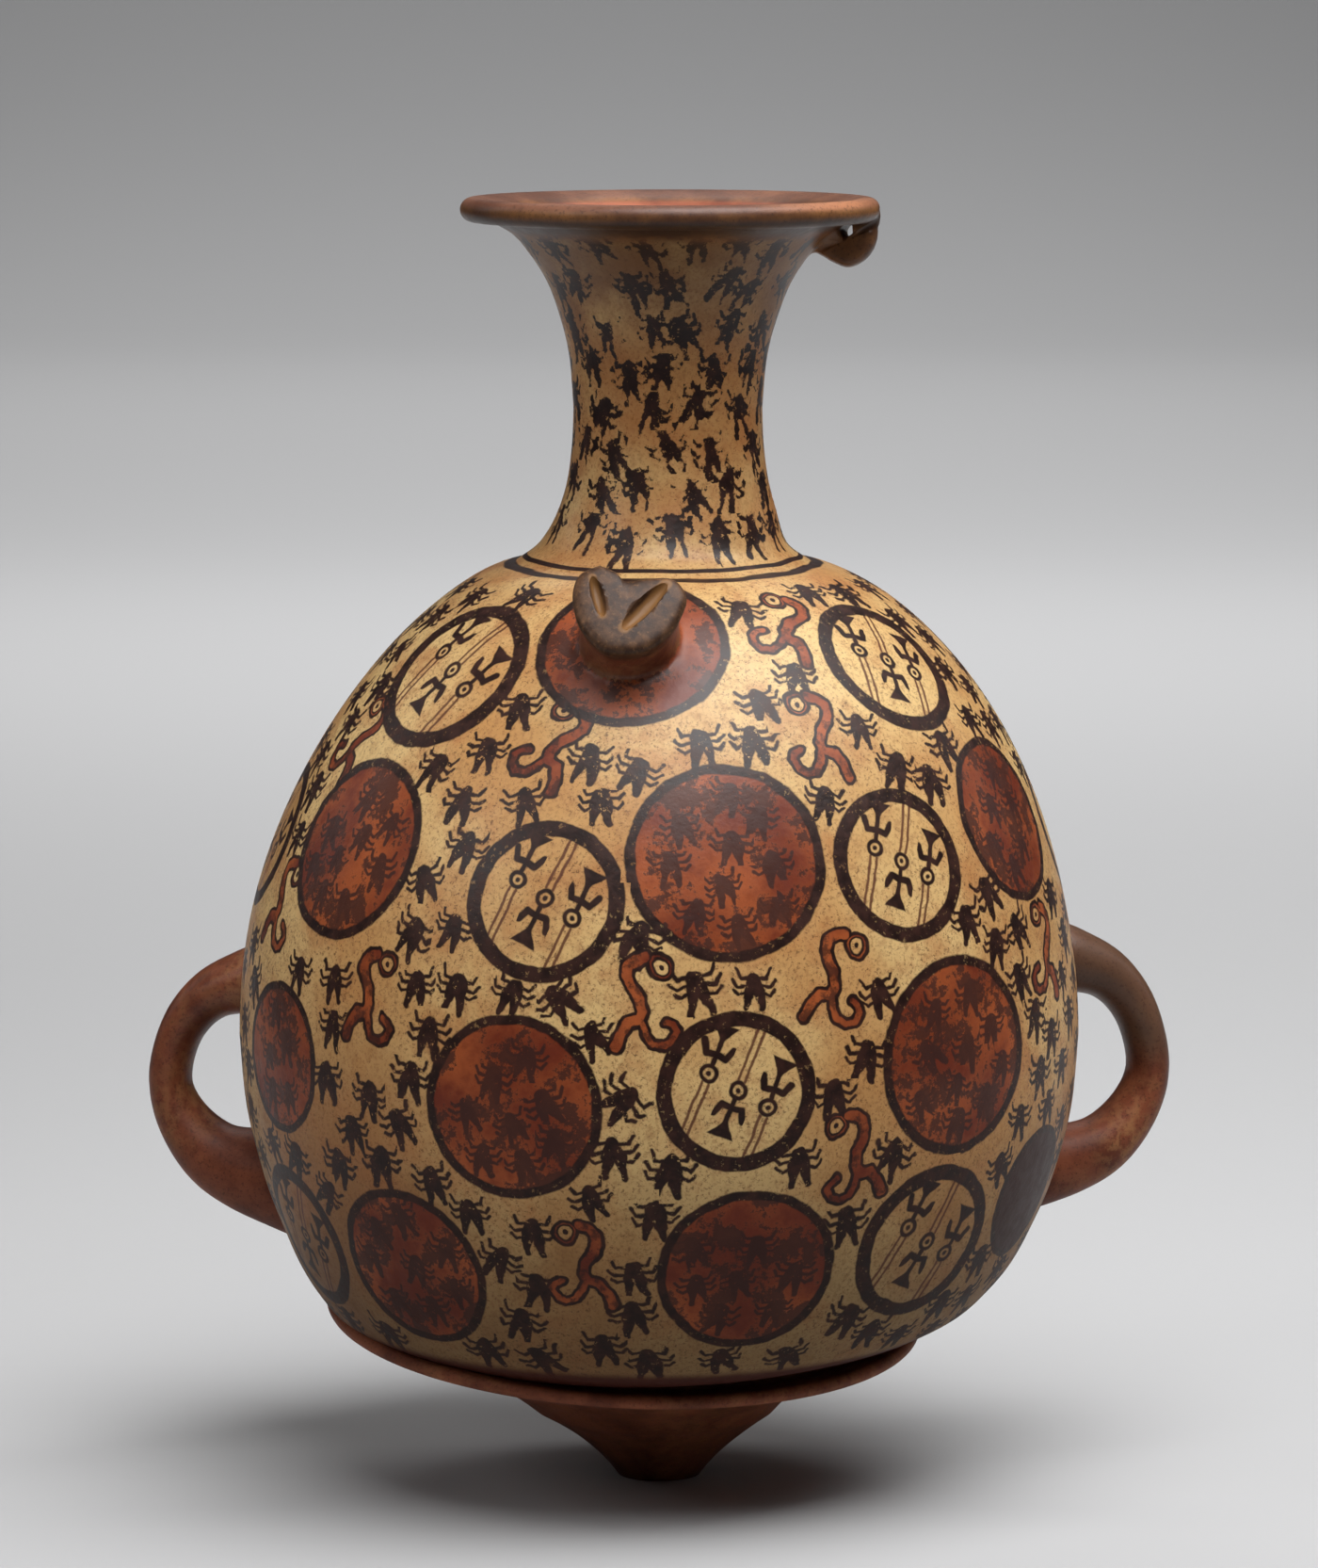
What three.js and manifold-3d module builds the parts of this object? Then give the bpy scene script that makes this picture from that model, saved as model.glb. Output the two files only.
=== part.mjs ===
// An urpu, a jar for maize beer: one hollow vessel of fired clay, about 22 cm high.
// Its body stands in a tilted saucer on a blunt cone, and it has a slender neck with
// a trumpet mouth, two strap handles, a pierced lug under the rim and an animal's head.
// Millimetres, +Z up. The origin is the centre of the flat under the cone, and the
// head looks along -Y.
import * as THREE from 'three';
import Module from 'manifold-3d';

const wasm = await Module();
wasm.setup();

// Whole vessel
const height = 219.1;
const wall = 4.2;
const aroundSides = 48;

// Cone under the saucer
const footRadius = 7;
const coneRadius = 20.5;
const coneHeight = 11.6;

// Saucer: its centre stands off the axis, its left side is higher and its front dips
const saucerRadius = 50.8;
const saucerHeight = 28.5;
const saucerLip = 2.4;
const saucerShift = -6.1;
const saucerRoll = -0.049;
const saucerDip = 0.11;

// Body: base edge over the saucer, belly, and the crease where the neck begins
const baseRadius = 50.6;
const baseHeight = 27.4;
const basePitch = 0.037;
const baseRise = 0.045;
const bellyRadius = 71.5;
const bellyHeight = 77;
const creaseRadius = 25;
const creaseHeight = 157.5;
const upperLean = 1.5;
const creaseShift = 0.9;

// Neck and mouth
const neckRadius = 15.95;
const neckHeight = 183.5;
const mouthRadius = 35.4;
const lipRadius = 2;
const mouthPitch = -0.03;

// Strap handles: they stand a little behind the jar's sides, and each was bent by hand
const handleReach = 87.7;
const handleThickness = 7.1;
const handleWidth = 10.8;
const handleTopRoot = 14.4;
const handleTurn = 15;
const leftBend = 65.3;
const leftRise = 18.3;
const leftDrop = 17.4;
const leftLowRoot = 20.5;
const rightBend = 67.8;
const rightRise = 19.7;
const rightDrop = 17.9;
const rightLowRoot = 15.8;

// Lug under the rim
const lugDrop = 9.8;
const lugThickness = 6;
const lugHole = 1.2;
const lugHoleSlant = 14;

// Head on the front of the shoulder
const headSide = -6.3;
const headRootRadius = 41;
const headRootHeight = 149;
const headStalk = 10;
const headHalfHeight = 8.5;
const headPitch = 38;
const stalkRadius = 7.9;
const eyeDepth = 0.9;

const rad = THREE.MathUtils.degToRad;
const smooth = THREE.MathUtils.smoothstep;
const mix = THREE.MathUtils.lerp;

// A soft corner: 0 below, then rising as t, rounded over the given width
function softRamp(t, width) {
  if (t > width) return t;
  return t < -width ? 0 : (t + width) ** 2 / (4 * width);
}

// Points of a smooth line through a few [radius, height] points
function line(points, count) {
  return new THREE.SplineCurve(points.map(([r, z]) => new THREE.Vector2(r, z))).getPoints(count);
}

// Closed solid from rings of points that run anticlockwise, lowest ring first
function solid(rings) {
  const sides = rings[0].length;
  const points = rings.flat();
  const faces = [];
  for (let i = 0; i < rings.length - 1; i++) {
    for (let j = 0; j < sides; j++) {
      const a = i * sides + j;
      const b = i * sides + (j + 1) % sides;
      faces.push(a, b, b + sides, a, b + sides, a + sides);
    }
  }
  for (const [ring, turned] of [[0, true], [rings.length - 1, false]]) {
    const centre = new THREE.Vector3();
    rings[ring].forEach((p) => centre.addScaledVector(p, 1 / sides));
    const middle = points.push(centre) - 1;
    for (let j = 0; j < sides; j++) {
      const a = ring * sides + j;
      const b = ring * sides + (j + 1) % sides;
      faces.push(middle, turned ? b : a, turned ? a : b);
    }
  }
  const vertProperties = new Float32Array(points.flatMap((p) => [p.x, p.y, p.z]));
  return new wasm.Manifold(new wasm.Mesh({ numProp: 3, vertProperties, triVerts: new Uint32Array(faces) }));
}

// Solid turned from an outline, with each point moved to where the potter left it
function turned(outline, settle, sides = aroundSides) {
  return solid(outline.map((p) => Array.from({ length: sides }, (_, j) => {
    const turn = (2 * Math.PI * j) / sides;
    return settle(new THREE.Vector3(p.x * Math.cos(turn), p.x * Math.sin(turn), p.y), p.x);
  })));
}

// Height of the saucer's rim above its mean height
function saucerLift(x, y) {
  const dip = softRamp(-y / saucerRadius, 0.25) * saucerRadius;
  return saucerRoll * x - saucerDip * dip;
}

// The cone stays on the axis, and the saucer's rim takes the whole shift and tilt
function settleSaucer(p, radius) {
  const share = smooth(radius, footRadius * 1.8, saucerRadius * 0.92);
  return new THREE.Vector3(p.x + saucerShift * share, p.y, p.z + saucerLift(p.x, p.y) * share);
}

// The base dips to the front and rises on the right, the mouth dips to the back, and the
// shoulder and neck lean right
function settleBody(p) {
  const low = 1 - smooth(p.z, baseHeight, mix(baseHeight, bellyHeight, 0.7));
  const high = smooth(p.z, mix(bellyHeight, creaseHeight, 0.2), mix(bellyHeight, creaseHeight, 0.8));
  const mouth = smooth(p.z, neckHeight, height);
  const crease = Math.exp(-(((p.z - creaseHeight - 1.5) / 5) ** 2));
  const rise = baseRise * softRamp(p.x / baseRadius, 0.3) * baseRadius;
  return new THREE.Vector3(
    p.x + upperLean * (high + mouth / 4) - creaseShift * crease - low / 2,
    p.y,
    p.z + (basePitch * low + mouthPitch * mouth) * p.y + rise * low ** 4,
  );
}

function saucerOutline() {
  const under = saucerHeight - saucerLip / 2;
  const cone = [];
  for (let k = 0; k <= 4; k++) {
    const up = k / 4;
    cone.push(new THREE.Vector2(mix(footRadius, coneRadius, 0.6 * up + 0.4 * up * up), coneHeight * up));
  }
  const flare = line([
    [coneRadius, coneHeight],
    [saucerRadius * 0.48, mix(coneHeight, under, 0.22)],
    [saucerRadius * 0.6, mix(coneHeight, under, 0.5)],
    [saucerRadius * 0.8, mix(coneHeight, under, 0.8)],
    [saucerRadius * 0.96, under],
  ], 6).slice(1);
  const lip = [];
  for (let turn = -60; turn <= 90; turn += 50) {
    lip.push(new THREE.Vector2(
      saucerRadius - (saucerLip / 2) * (1 - Math.cos(rad(turn))),
      saucerHeight + (saucerLip / 2) * Math.sin(rad(turn)),
    ));
  }
  const top = saucerHeight + saucerLip / 2;
  return [...cone, ...flare, ...lip, new THREE.Vector2(baseRadius * 0.8, top - 0.3)];
}

// Outer line of the body and neck, from under the base up to the lip
function bodyOutline() {
  const base = line([
    [baseRadius * 0.3, baseHeight - 3.3],
    [baseRadius * 0.75, baseHeight - 2.9],
    [baseRadius, baseHeight],
  ], 3);
  const lowerShares = [[0, 0], [0.21, 0.05], [0.375, 0.13], [0.51, 0.22], [0.64, 0.34], [0.8, 0.51], [0.945, 0.75], [1, 1]];
  const lower = line(lowerShares.map(([r, z]) => [
    mix(baseRadius, bellyRadius, r),
    mix(baseHeight, bellyHeight, z),
  ]), 9).slice(1);
  const shoulder = [];
  const shoulderSteps = 11;
  for (let k = 1; k <= shoulderSteps; k++) {
    const up = Math.sin((Math.PI / 2) * (k / shoulderSteps));
    shoulder.push(new THREE.Vector2(
      mix(creaseRadius, bellyRadius, (1 - up * up) ** (2 / 3)),
      mix(bellyHeight, creaseHeight, up),
    ));
  }
  const neckShares = [[1, 0], [0.67, 0.08], [0.5, 0.15], [0.33, 0.28], [0.13, 0.51], [0.03, 0.76], [0, 1]];
  const neck = line(neckShares.map(([r, z]) => [
    mix(neckRadius, creaseRadius, r),
    mix(creaseHeight, neckHeight, z),
  ]), 7).slice(1);
  const flareShares = [[0, 0], [0.04, 0.27], [0.13, 0.48], [0.265, 0.68], [0.45, 0.84], [0.61, 0.94], [0.8, 1]];
  const flare = line(flareShares.map(([r, z]) => [
    mix(neckRadius, mouthRadius - lipRadius, r),
    mix(neckHeight, height - 2.1 * lipRadius, z),
  ]), 7).slice(1);
  const lip = [];
  for (let turn = -90; turn <= 90; turn += 45) {
    lip.push(new THREE.Vector2(
      mouthRadius - lipRadius + lipRadius * Math.cos(rad(turn)),
      height - lipRadius + lipRadius * Math.sin(rad(turn)),
    ));
  }
  return { walls: [...base, ...lower, ...shoulder, ...neck, ...flare], lip };
}

// The same line one wall thickness further in, with every other point, and out through the mouth
function cavityOutline(walls) {
  const inner = walls.map((p, i) => {
    const along = walls[Math.min(i + 1, walls.length - 1)].clone().sub(walls[Math.max(i - 1, 0)]).normalize();
    return new THREE.Vector2(p.x - along.y * wall, p.y + along.x * wall);
  }).filter((p, i) => i % 2 === 0 || i > walls.length - 5);
  const crest = mouthRadius - lipRadius;
  const throat = inner.filter((p) => p.y < height - wall);
  const roll = line([
    [throat.at(-1).x, throat.at(-1).y],
    [mix(throat.at(-1).x, crest, 0.45), height - 0.42 * wall],
    [crest - lipRadius, height - 0.25],
    [crest, height + 0.02],
  ], 4).slice(1);
  return [...throat, ...roll, new THREE.Vector2(crest, height + 3)];
}

// Strap handle: its line lies in an upright plane through the axis, turned behind the side
function handle({ turn, bend, rise, drop, lowRoot }) {
  const reach = handleReach;
  const inside = bellyRadius - 0.75 * wall;
  const route = new THREE.CatmullRomCurve3([
    [inside - 1.5, bend + rise],
    [mix(inside, reach, 0.28), bend + 0.93 * rise],
    [mix(inside, reach, 0.62), bend + 0.78 * rise],
    [mix(inside, reach, 0.88), bend + 0.46 * rise],
    [reach, bend],
    [mix(inside, reach, 0.9), bend - 0.4 * drop],
    [mix(inside, reach, 0.62), bend - 0.75 * drop],
    [mix(inside, reach, 0.26), bend - 0.92 * drop],
    [inside - 5.5, bend - drop],
  ].map(([r, z]) => new THREE.Vector3(r, 0, z)));
  const sides = 12;
  const steps = 17;
  const rings = [];
  for (let i = 0; i <= steps; i++) {
    const share = i / steps;
    const centre = route.getPointAt(share);
    const along = route.getTangentAt(share);
    const out = along.clone().cross(new THREE.Vector3(0, 1, 0)).normalize();
    const root = Math.abs(2 * share - 1) ** (share < 0.5 ? 2.4 : 1.3);
    const end = share < 0.5 ? handleTopRoot : lowRoot;
    const thick = mix(handleThickness, end, root) / 2;
    const wide = mix(handleWidth, end, root) / 2;
    rings.push(Array.from({ length: sides }, (_, j) => {
      const a = (2 * Math.PI * j) / sides;
      const p = centre.clone().addScaledVector(out, thick * Math.sin(a));
      p.y += wide * Math.cos(a);
      return p.applyAxisAngle(new THREE.Vector3(0, 0, 1), turn);
    }));
  }
  return solid(rings);
}

// Rounded plate that hangs under the rim on the right, with a slanting hole
function lug() {
  const right = mouthRadius + upperLean * 1.25 - 0.6;
  const top = height - lipRadius;
  const bottom = top - lugDrop;
  const outline = new THREE.SplineCurve([
    [right - 15.5, top - 1.5],
    [right - 0.6, top],
    [right + 0.2, mix(bottom, top, 0.65)],
    [right - 0.3, mix(bottom, top, 0.35)],
    [right - 2, mix(bottom, top, 0.12)],
    [right - 4.6, bottom],
    [right - 7, mix(bottom, top, 0.07)],
    [right - 9.6, mix(bottom, top, 0.22)],
    [right - 14, mix(bottom, top, 0.45)],
  ].map(([x, z]) => new THREE.Vector2(x, z)));
  const edge = outline.getPoints(20);
  const middle = new THREE.Vector2(right - 7, mix(bottom, top, 0.6));
  const depths = [-0.5, -0.43, -0.24, 0, 0.24, 0.43, 0.5];
  const insets = [0.66, 0.86, 0.97, 1, 0.97, 0.86, 0.66];
  const plate = solid(depths.map((depth, i) => edge.map((p) => new THREE.Vector3(
    mix(middle.x, p.x, insets[i]),
    depth * lugThickness,
    mix(middle.y, p.y, insets[i]),
  ))));
  const drill = [-1, 1].map((end) => Array.from({ length: 16 }, (_, j) => {
    const a = (2 * Math.PI * j) / 16;
    return new THREE.Vector3(
      right - 4.4 + lugHole * Math.cos(a) + end * lugThickness * Math.tan(rad(lugHoleSlant)),
      end * lugThickness,
      top - 3.6 - lugHole * Math.sin(a) - end * 0.15 * lugThickness,
    );
  }));
  return plate.subtract(solid(drill));
}

// Face seen from in front, as shares of its half height: two ears, a notch and a muzzle
const faceShares = [
  [-0.6, 1], [-0.96, 0.8], [-1.1, 0.44], [-1.08, 0], [-0.93, -0.46], [-0.55, -0.91], [-0.12, -1],
  [0.35, -0.92], [0.78, -0.56], [1.05, 0], [1.09, 0.34], [0.84, 0.68], [0.35, 0.68], [-0.08, 0.62], [-0.28, 0.84],
];

// Two slit eyes: each one's ends and half width, in the same shares
const eyeShares = [
  { from: [-0.72, 0.66], to: [-0.52, -0.22], half: 0.12 },
  { from: [0.7, 0.5], to: [-0.1, -0.5], half: 0.16 },
];

// Places a point of the head: across, up the face, and out along the stalk
function onHead(across, up, out) {
  const pitch = rad(headPitch);
  return new THREE.Vector3(
    headSide + upperLean + across,
    -headRootRadius - out * Math.cos(pitch) + up * Math.sin(pitch),
    headRootHeight + out * Math.sin(pitch) + up * Math.cos(pitch),
  );
}

function head() {
  const face = new THREE.SplineCurve([...faceShares, faceShares[0]].map(([x, z]) => new THREE.Vector2(x, z)));
  const outline = face.getPoints(faceShares.length * 2).slice(0, -1);
  const sections = [
    { out: -9, size: 1.1, shape: 0 },
    { out: -1, size: 1.02, shape: 0.2 },
    { out: 0.4 * headStalk, size: 0.96, shape: 0.4 },
    { out: 0.7 * headStalk, size: 0.95, shape: 0.75 },
    { out: 0.9 * headStalk, size: 0.99, shape: 1 },
    { out: headStalk, size: 0.98, shape: 1 },
    { out: headStalk + 0.7, size: 0.88, shape: 1 },
    { out: headStalk + 1.1, size: 0.6, shape: 1 },
    { out: headStalk + 1.3, size: 0.25, shape: 1 },
  ];
  const nub = solid(sections.map(({ out, size, shape }) => outline.map((p) => {
    const round = new THREE.Vector2(p.x, p.y).setLength(stalkRadius);
    const flat = new THREE.Vector2(p.x, p.y).multiplyScalar(headHalfHeight);
    const q = round.lerp(flat, shape).multiplyScalar(size);
    return onHead(q.x, q.y, out);
  })));
  return eyeShares.reduce((carved, eye) => carved.subtract(slit(eye)), nub);
}

// Boat-shaped cut for one eye
function slit({ from, to, half }) {
  const a = new THREE.Vector2(...from).multiplyScalar(headHalfHeight);
  const b = new THREE.Vector2(...to).multiplyScalar(headHalfHeight);
  const along = b.clone().sub(a).multiplyScalar(0.5);
  const side = new THREE.Vector2(-along.y, along.x).setLength(half * headHalfHeight);
  const middle = a.add(b).multiplyScalar(0.5);
  const levels = [[-eyeDepth, 0.45], [-0.4 * eyeDepth, 0.85], [0.6, 1.1], [2.5, 1.3]];
  return solid(levels.map(([depth, size]) => Array.from({ length: 12 }, (_, j) => {
    const turn = (2 * Math.PI * j) / 12;
    const p = middle.clone()
      .addScaledVector(along, size * Math.cos(turn))
      .addScaledVector(side, size * Math.sin(turn));
    return onHead(p.x, p.y, headStalk + 0.7 + depth);
  })));
}

function jar() {
  const { walls, lip } = bodyOutline();
  const body = turned([...walls, ...lip], settleBody);
  const saucer = turned(saucerOutline(), settleSaucer);
  const cavity = turned(cavityOutline(walls), settleBody, (2 / 3) * aroundSides);
  const side = rad(handleTurn);
  return body
    .add(saucer)
    .add(handle({ turn: side, bend: rightBend, rise: rightRise, drop: rightDrop, lowRoot: rightLowRoot }))
    .add(handle({ turn: Math.PI - side, bend: leftBend, rise: leftRise, drop: leftDrop, lowRoot: leftLowRoot }))
    .add(lug())
    .add(head())
    .subtract(cavity);
}

function toMesh(name, shape, material) {
  const { vertProperties, triVerts, numProp } = shape.getMesh();
  const geometry = new THREE.BufferGeometry();
  const places = new Float32Array((vertProperties.length / numProp) * 3);
  for (let i = 0; i < places.length / 3; i++) {
    places.set(vertProperties.subarray(i * numProp, i * numProp + 3), i * 3);
  }
  geometry.setAttribute('position', new THREE.BufferAttribute(places, 3));
  geometry.setIndex(new THREE.BufferAttribute(triVerts, 1));
  const mesh = new THREE.Mesh(geometry, material);
  mesh.name = name;
  return mesh;
}

const clay = new THREE.MeshStandardMaterial({ color: 0xc9a56b, roughness: 0.45, metalness: 0 });

const group = new THREE.Group();
group.add(toMesh('jar', jar(), clay));

export default group;
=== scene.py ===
# An urpu jar of fired clay, dressed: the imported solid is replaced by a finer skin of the
# same form, and its slip, painted figures, wear and grain come from one procedural material.
# Forms are worked out in millimetres, in the part's own frame, and built in metres.
import math
from types import SimpleNamespace

import bmesh
import bpy
import numpy as np
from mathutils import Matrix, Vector, kdtree


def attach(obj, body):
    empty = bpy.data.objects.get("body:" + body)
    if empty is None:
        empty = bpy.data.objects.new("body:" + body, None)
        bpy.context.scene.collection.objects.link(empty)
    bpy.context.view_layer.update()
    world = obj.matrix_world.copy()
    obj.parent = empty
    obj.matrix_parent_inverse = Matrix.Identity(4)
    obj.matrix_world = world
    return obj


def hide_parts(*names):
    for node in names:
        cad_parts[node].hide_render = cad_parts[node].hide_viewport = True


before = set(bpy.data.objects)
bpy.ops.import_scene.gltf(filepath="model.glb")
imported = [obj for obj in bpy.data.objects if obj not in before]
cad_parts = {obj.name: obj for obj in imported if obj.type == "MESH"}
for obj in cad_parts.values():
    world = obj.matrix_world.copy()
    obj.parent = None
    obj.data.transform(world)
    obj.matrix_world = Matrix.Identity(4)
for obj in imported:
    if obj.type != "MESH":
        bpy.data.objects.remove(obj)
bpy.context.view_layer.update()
MM = 0.001

# Whole vessel
height = 219.1
wall = 4.2
around_sides = 240

# Cone under the saucer
foot_radius = 7
cone_radius = 20.5
cone_height = 11.6

# Saucer
saucer_radius = 50.8
saucer_height = 28.5
saucer_lip = 2.4
saucer_shift = -6.1
saucer_roll = -0.049
saucer_dip = 0.11

# Body
base_radius = 50.6
base_height = 27.4
base_pitch = 0.037
base_rise = 0.045
belly_radius = 71.5
belly_height = 77
crease_radius = 25
crease_height = 157.5
upper_lean = 1.5
mouth_lean = 1.25 * upper_lean
crease_shift = 0.9

# Neck and mouth
neck_radius = 15.95
neck_height = 183.5
mouth_radius = 35.4
lip_radius = 2
mouth_pitch = -0.03

# Strap handles
handle_reach = 87.7
handle_thickness = 7.1
handle_width = 10.8
handle_top_root = 14.4
handle_turn = 15
left_handle = {"bend": 65.3, "rise": 18.3, "drop": 17.4, "low_root": 20.5}
right_handle = {"bend": 67.8, "rise": 19.7, "drop": 17.9, "low_root": 15.8}

# Lug under the rim
lug_drop = 9.8
lug_thickness = 6
lug_hole = 1.2
lug_hole_slant = 14

# Head on the shoulder
head_side = -6.3
head_root_radius = 41
head_root_height = 149
head_stalk = 10
head_half_height = 8.5
head_pitch = 38
stalk_radius = 7.9
eye_depth = 0.9

# Painted figures: insects are smaller in the red discs, and taller in rows up the neck
worm_size = 7.7
insect_size = 4.25
small_insect_size = 3.7
neck_insect_size = 3.9
neck_insect_stretch = 1.25
neck_row = 6.9

# From one staff to the next, as a share of the disc's radius
staff_gap = 0.42

# The room that an insect keeps from the next one, and from all else
insect_room = 7.5
small_insect_room = 6.2
neck_insect_room = 8.2
disc_room = 2.9
rim_room = 5
worm_room = 6.4
head_room = 12
handle_room = 11
upper_root_level = 84
upper_root_room = 9
lower_root_level = 49

# Insects that are tried on the body, and the lowest and highest of them
insect_tries = 24000
lowest_insect = 31
highest_insect = 155

# The photograph's view, in metres and degrees, and its lens in pixels of its height
camera_place = (0, -1.44, 0.3205)
look_down = 7.95
focal_pixels = 9087
photo_pixels = 1665

# Discs: turn from the front in degrees, height, radius, and what fills them
DISCS = [
    (-49.5, 142.6, 15, "staffs"), (-8.3, 148.2, 16.2, "red"), (52.3, 143.8, 13.6, "staffs"),
    (104, 143, 11.5, "red"), (154, 143, 11.5, "staffs"), (205, 143, 11.5, "red"),
    (256, 143, 11.5, "staffs"),
    (-53, 114.4, 15.8, "red"), (-16.8, 109.1, 13.5, "staffs"), (9.3, 115.6, 16.7, "red"),
    (37.2, 113.4, 13, "staffs"), (65, 117.6, 14.4, "red"), (93, 113, 13, "staffs"),
    (123, 115, 15, "red"), (153, 112, 13.2, "staffs"), (183, 115, 15, "red"),
    (213, 112, 13.2, "staffs"), (243, 115, 15, "red"), (275, 112, 13, "staffs"),
    (-63, 78, 12.8, "red"), (-19.8, 75.4, 15.4, "red"), (10.3, 78.6, 13.3, "staffs"),
    (44.2, 81.4, 16.6, "red"), (130, 78, 13.3, "staffs"), (156.5, 77, 14.5, "red"),
    (184, 79, 13.3, "staffs"), (211, 77, 14.5, "red"), (236, 78, 12, "staffs"),
    (-65.1, 46.5, 13, "staffs"), (-38.8, 45.6, 14.6, "red"), (12.9, 47.6, 15, "red"),
    (41.8, 49.6, 14.2, "staffs"), (66.2, 54.1, 11.9, "dark"), (137, 47, 12.5, "red"),
    (167, 47, 13, "staffs"), (197, 47, 13.5, "red"), (226, 47, 12.5, "staffs"),
]

# Curling worms: turn, height, lean in degrees, and 1 or -1 for the side that the tail is on
WORMS = [
    (-65.6, 130.2, 20, 1), (-20, 133, 25, 1), (29.7, 150.5, 30, 1), (27, 134, 5, 1),
    (-68.2, 102.7, 10, -1), (-42.3, 91.1, 5, -1), (-1.9, 93, 0, -1), (24.6, 96, 15, -1),
    (26.8, 66.3, -10, 1), (-10.9, 48.6, 0, 1),
    (67.3, 94.9, 10, 1), (120, 134, 0, 1), (170, 94, 5, -1), (198, 96, 0, 1), (228, 134, 10, 1),
    (143, 94, 0, -1), (182, 62, 0, 1), (152, 60, 0, -1), (250, 93, 0, 1), (104, 96, 0, 1),
]


def mix(a, b, share):
    return a + (b - a) * share


def smooth(value, low, high):
    """Share that rises smoothly from 0 at low to 1 at high"""
    share = np.clip((value - low) / (high - low), 0, 1)
    return share * share * (3 - 2 * share)


def soft_ramp(value, width):
    """0 below, then rising as the value does, rounded over the given width"""
    rounded = np.where(value < -width, 0, (value + width) ** 2 / (4 * width))
    return np.where(value > width, value, rounded)


def line(points, count):
    """Points of a smooth line through a few given points"""
    points = np.array(points, float)
    last = len(points) - 1
    place = np.linspace(0, last, count + 1)
    start = np.minimum(place.astype(int), last - 1)
    share = (place - start)[:, None]
    a, b, c, d = (points[np.clip(start + k, 0, last)] for k in (-1, 0, 1, 2))
    square = 2 * a - 5 * b + 4 * c - d
    cube = 3 * b - a - 3 * c + d
    return 0.5 * (2 * b + (c - a) * share + square * share**2 + cube * share**3)


def solid(name, rings):
    """Closed mesh object from rings of points that run anticlockwise, lowest ring first"""
    rings = np.asarray(rings, float)
    count, sides = rings.shape[:2]
    ends = rings[[0, -1]].mean(axis=1)
    points = np.vstack([rings.reshape(-1, 3), ends]) * MM
    grid = np.arange(count * sides).reshape(count, sides)
    after = np.roll(grid, -1, axis=1)
    quads = np.stack([grid[:-1], after[:-1], after[1:], grid[1:]], axis=-1).reshape(-1, 4)
    low, high = count * sides, count * sides + 1
    faces = [tuple(q) for q in quads.tolist()]
    faces += [(low, b, a) for a, b in zip(grid[0].tolist(), after[0].tolist())]
    faces += [(high, a, b) for a, b in zip(grid[-1].tolist(), after[-1].tolist())]
    mesh = bpy.data.meshes.new(name)
    mesh.from_pydata(points.tolist(), [], faces)
    piece = bpy.data.objects.new(name, mesh)
    bpy.context.scene.collection.objects.link(piece)
    return piece


def turned(name, outline, settle, sides=around_sides):
    """Solid turned from an outline, with each point moved to where the potter left it"""
    outline = np.asarray(outline, float)
    turn = np.linspace(0, 2 * np.pi, sides, endpoint=False)
    r, z = outline[:, :1], outline[:, 1:]
    points = np.stack([r * np.cos(turn), r * np.sin(turn), z + 0 * turn], axis=-1)
    return solid(name, settle(points))


def settle_saucer(p):
    """Shifts the saucer to the left, tips it, and dips the front of its lip"""
    radius = np.hypot(p[..., 0], p[..., 1])
    share = smooth(radius, foot_radius * 1.8, saucer_radius * 0.92)
    dip = soft_ramp(-p[..., 1] / saucer_radius, 0.25) * saucer_radius
    lift = saucer_roll * p[..., 0] - saucer_dip * dip
    return p + np.stack([saucer_shift * share, 0 * share, lift * share], axis=-1)


def settle_body(p):
    """Leans the upper body and neck, tips the mouth and base, and lifts the right of the base"""
    x, y, z = p[..., 0], p[..., 1], p[..., 2]
    low = 1 - smooth(z, base_height, mix(base_height, belly_height, 0.7))
    high = smooth(z, mix(belly_height, crease_height, 0.2), mix(belly_height, crease_height, 0.8))
    mouth = smooth(z, neck_height, height)
    crease = np.exp(-(((z - crease_height - 1.5) / 5) ** 2))
    rise = base_rise * soft_ramp(x / base_radius, 0.3) * base_radius
    return np.stack([
        x + upper_lean * (high + mouth / 4) - crease_shift * crease - low / 2,
        y,
        z + (base_pitch * low + mouth_pitch * mouth) * y + rise * low**4,
    ], axis=-1)


def saucer_outline():
    """Outer line of the cone and saucer, its rounded lip, and the seat under the body"""
    under = saucer_height - saucer_lip / 2
    up = np.linspace(0, 1, 15)
    cone = np.stack([mix(foot_radius, cone_radius, 0.6 * up + 0.4 * up**2), cone_height * up], axis=-1)
    flare = line([
        [cone_radius, cone_height],
        [saucer_radius * 0.48, mix(cone_height, under, 0.22)],
        [saucer_radius * 0.6, mix(cone_height, under, 0.5)],
        [saucer_radius * 0.8, mix(cone_height, under, 0.8)],
        [saucer_radius * 0.96, under],
    ], 28)[1:]
    turn = np.radians(np.linspace(-60, 90, 13))
    lip = np.stack([
        saucer_radius - saucer_lip / 2 * (1 - np.cos(turn)),
        saucer_height + saucer_lip / 2 * np.sin(turn),
    ], axis=-1)
    top = saucer_height + saucer_lip / 2
    seat = [[base_radius * 0.93, top - 0.1], [base_radius * 0.8, top - 0.3]]
    return np.vstack([cone, flare, lip, seat])


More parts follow.
